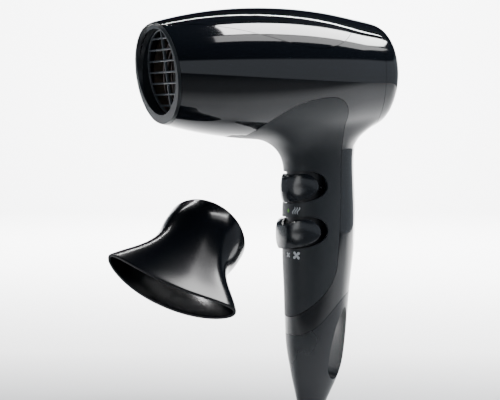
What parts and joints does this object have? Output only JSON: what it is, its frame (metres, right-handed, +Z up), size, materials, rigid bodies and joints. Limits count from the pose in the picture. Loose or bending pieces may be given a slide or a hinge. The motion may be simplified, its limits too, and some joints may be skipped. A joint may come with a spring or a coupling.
{
  "type": "hair dryer",
  "caption": "Compact hand-held hair dryer with a round barrel, oval handle with two rotary rockers, removable rear cap and a flat concentrator.",
  "frame": {"origin": "middle of the grip on the handle's centre line, between the two rockers", "axes": "+Z up along the handle to the barrel, -X the way the air leaves, Y across"},
  "size_m": [0.1699, 0.0863, 0.2254],
  "materials": {
    "gloss_shell": "high gloss",
    "gloss_nozzle": "high gloss",
    "soft_matte": "soft touch",
    "satin_black": "satin",
    "rocker_satin": "satin",
    "dark_heatproof": "moulded",
    "dark_part": "moulded",
    "grille_grey": "satin",
    "white_plastic": "moulded",
    "mica": "layered",
    "heating_wire": "drawn wire",
    "bright_steel": "plated",
    "ferrite": "sintered",
    "bronze": "sintered",
    "copper_winding": "enamelled copper",
    "circuit_board": "lacquered",
    "capacitor_yellow": "moulded",
    "wire_red": "extruded",
    "rubber": "moulded"
  },
  "bodies": {
    "body": {"shell_left": "gloss_shell", "shell_right": "gloss_shell", "top_cover": "gloss_shell", "grip_panel": "soft_matte", "end_loop": "satin_black", "outlet_ring": "dark_heatproof", "outlet_grille": "grille_grey", "heater_tube": "mica", "mica_board_level": "mica", "mica_board_upright": "mica", "heater_coil_high": "heating_wire", "heater_coil_low": "heating_wire", "thermostat": "dark_part", "thermal_fuse": "bright_steel", "motor_mount": "dark_heatproof", "motor_sleeve": "rubber", "motor_can": "bright_steel", "motor_magnets": "ferrite", "motor_end_cap": "white_plastic", "front_bearing": "bronze", "rear_bearing": "bronze", "motor_brushes": "ferrite", "fan_guard": "dark_part", "switch_carrier": "dark_part", "rocker_pins": "bright_steel", "switch_board": "circuit_board", "heat_switch": "dark_part", "speed_switch": "dark_part", "rectifier_diodes": "dark_part", "noise_capacitor": "capacitor_yellow", "terminal_block": "white_plastic", "wiring_loom": "wire_red", "cord_gland": "rubber", "cord_clamp": "white_plastic", "clamp_screws": "bright_steel", "shell_screws": "bright_steel"},
    "fan": {"motor_shaft": "bright_steel", "armature": "copper_winding", "commutator": "copper_winding", "impeller": "dark_part"},
    "rear_cap": {"rear_cap": "gloss_shell", "filter_frame": "dark_part", "filter_mesh": "bright_steel"},
    "heat_rocker": {"heat_rocker": "rocker_satin"},
    "speed_rocker": {"speed_rocker": "rocker_satin"},
    "concentrator": {"concentrator": "gloss_nozzle"}
  },
  "joints": [
    {"name": "fan_spin", "type": "hinge", "parent": "body", "child": "fan", "pos_m": [0, 0, 0.0792], "axis": [-1, 0, 0], "continuous": true},
    {"name": "rear_cap_pull", "type": "slide", "parent": "body", "child": "rear_cap", "axis": [1, 0, 0], "range_m": [0, 0.03]},
    {"name": "heat_rocker_turn", "type": "hinge", "parent": "body", "child": "heat_rocker", "pos_m": [-0.00831, 0, 0.0158], "axis": [0, 0, 1], "range_deg": [-16, 16]},
    {"name": "speed_rocker_turn", "type": "hinge", "parent": "body", "child": "speed_rocker", "pos_m": [-0.00831, 0, -0.0095], "axis": [0, 0, 1], "range_deg": [-16, 16]},
    {"name": "concentrator_lift", "type": "slide", "parent": "body", "child": "concentrator", "axis": [0.6847, 0.5509, 0.4772], "range_m": [0, 0.02]}
  ]
}
